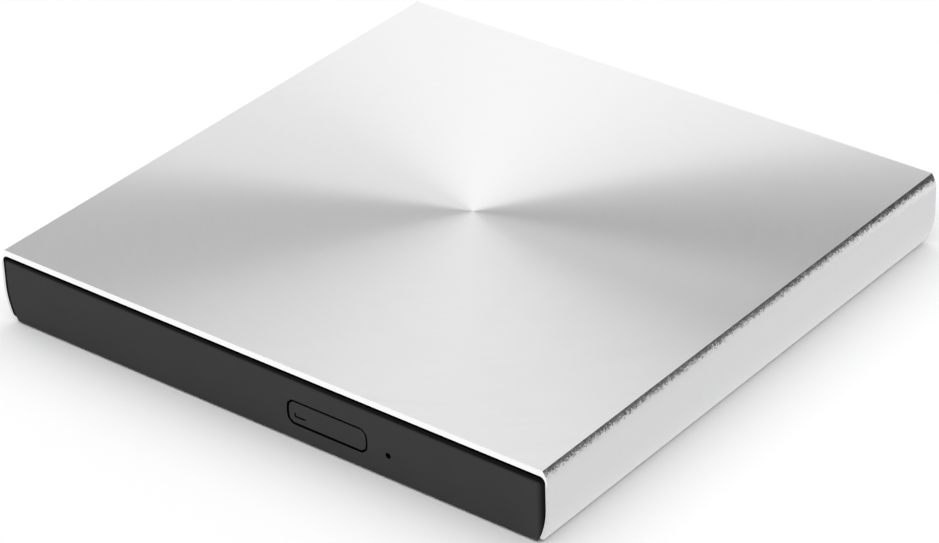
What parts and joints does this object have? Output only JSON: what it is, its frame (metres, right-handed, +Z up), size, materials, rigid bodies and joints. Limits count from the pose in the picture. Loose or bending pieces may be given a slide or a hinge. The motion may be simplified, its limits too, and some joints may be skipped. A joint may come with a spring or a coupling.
{
  "type": "external optical drive",
  "caption": "Slim external optical disc drive: spun aluminium sleeve, black base and bezel, and a disc tray that slides out with its spindle, pickup, eject button and rails.",
  "frame": {"origin": "on the ground under the middle of the drive: the middle of its overall box, at its lowest point", "axes": "+X to the right seen from the front, +Y to the rear, +Z up; the tray slides out along -Y"},
  "size_m": [0.1424, 0.138, 0.0173],
  "materials": {
    "spun_aluminium": "spun and bead-blasted, satin",
    "black_plastic": "fine moulded texture",
    "tray_plastic": "satin moulded",
    "grey_plastic": "moulded acetal",
    "rubber": "matte",
    "steel_sheet": "galvanised sheet",
    "bright_steel": "ground and plated",
    "circuit_board": "solder mask",
    "chip_resin": "moulded resin",
    "flex_film": "polyimide film",
    "clear_plastic": "clear moulded",
    "brass": "wound copper and laminations"
  },
  "bodies": {
    "case": {"top_sleeve": "spun_aluminium", "bottom_case": "black_plastic", "rear_panel": "black_plastic", "foot_front_left": "rubber", "foot_front_right": "rubber", "foot_rear_left": "rubber", "foot_rear_right": "rubber", "case_screw_front_left": "bright_steel", "case_screw_front_right": "bright_steel", "case_screw_rear_left": "bright_steel", "case_screw_rear_right": "bright_steel", "drive_chassis": "steel_sheet", "drive_lid": "steel_sheet", "lid_screw_left": "bright_steel", "lid_screw_right": "bright_steel", "rail_guide_left": "grey_plastic", "rail_guide_right": "grey_plastic", "drive_connector": "chip_resin", "bridge_board": "circuit_board", "bridge_connector": "chip_resin", "bridge_chip": "chip_resin", "usb_socket": "bright_steel", "flex_connector": "chip_resin", "latch_post": "bright_steel"},
    "tray": {"tray": "tray_plastic", "front_bezel": "black_plastic", "tray_cover": "steel_sheet", "front_board": "circuit_board", "main_board": "circuit_board", "main_chip": "chip_resin", "driver_chip": "chip_resin", "main_flex": "flex_film", "eject_switch": "chip_resin", "led_light_pipe": "clear_plastic", "solenoid": "steel_sheet", "ejector_spring": "bright_steel", "traverse_frame": "steel_sheet", "traverse_cover": "steel_sheet", "damper_1": "rubber", "damper_2": "rubber", "damper_3": "rubber", "guide_rod_main": "bright_steel", "guide_rod_second": "bright_steel", "sled_motor": "steel_sheet", "spindle_stator": "brass"},
    "spindle": {"turntable": "grey_plastic", "turntable_ring": "rubber", "disc_hub": "black_plastic"},
    "pickup": {"pickup_sled": "grey_plastic", "lens_holder": "chip_resin", "objective_lens": "clear_plastic"},
    "lead_screw": {"lead_screw": "bright_steel"},
    "button": {"eject_button": "black_plastic", "switch_plunger": "chip_resin"},
    "latch": {"latch_lever": "grey_plastic"},
    "solenoid_plunger": {"solenoid_plunger": "bright_steel"},
    "ejector": {"ejector_plunger": "grey_plastic"},
    "rail_left": {"slide_rail_left": "bright_steel"},
    "rail_right": {"slide_rail_right": "bright_steel"}
  },
  "joints": [
    {"name": "tray_slide", "type": "slide", "parent": "case", "child": "tray", "axis": [0, -1, 0], "range_m": [0, 0.125], "deforming": ["main_flex"]},
    {"name": "rail_left_slide", "type": "slide", "parent": "case", "child": "rail_left", "axis": [0, -1, 0], "range_m": [0, 0.0625]},
    {"name": "rail_right_slide", "type": "slide", "parent": "case", "child": "rail_right", "axis": [0, -1, 0], "range_m": [0, 0.0625]},
    {"name": "spindle_spin", "type": "hinge", "parent": "tray", "child": "spindle", "pos_m": [0, -0.005, 0], "axis": [0, 0, 1], "continuous": true},
    {"name": "pickup_slide", "type": "slide", "parent": "tray", "child": "pickup", "axis": [-0.7071, -0.7071, 0], "range_m": [0, 0.0335]},
    {"name": "lead_screw_spin", "type": "hinge", "parent": "tray", "child": "lead_screw", "pos_m": [-0.03394, -0.01349, 0.007], "axis": [-0.7071, -0.7071, 0], "range_deg": [0, 4021]},
    {"name": "button_press", "type": "slide", "parent": "tray", "child": "button", "axis": [0, 1, 0], "range_m": [0, 0.0006], "stiffness_N_per_m": 400},
    {"name": "solenoid_slide", "type": "slide", "parent": "tray", "child": "solenoid_plunger", "axis": [0, -1, 0], "range_m": [0, 0.00317]},
    {"name": "latch_swing", "type": "hinge", "parent": "tray", "child": "latch", "pos_m": [0.053, -0.0616, 0.006], "axis": [0, 0, 1], "range_deg": [0, 14.1]},
    {"name": "ejector_slide", "type": "slide", "parent": "tray", "child": "ejector", "axis": [0, 1, 0], "range_m": [0, 0.008]}
  ],
  "couplings": [
    {"joint": "rail_left_slide", "follows": "tray_slide", "ratio": 0.5},
    {"joint": "rail_right_slide", "follows": "tray_slide", "ratio": 0.5},
    {"joint": "ejector_slide", "follows": "tray_slide", "ratio": 0.064},
    {"joint": "lead_screw_spin", "follows": "pickup_slide", "rad_per_m": 2094.4},
    {"joint": "latch_swing", "follows": "solenoid_slide", "rad_per_m": 77}
  ]
}
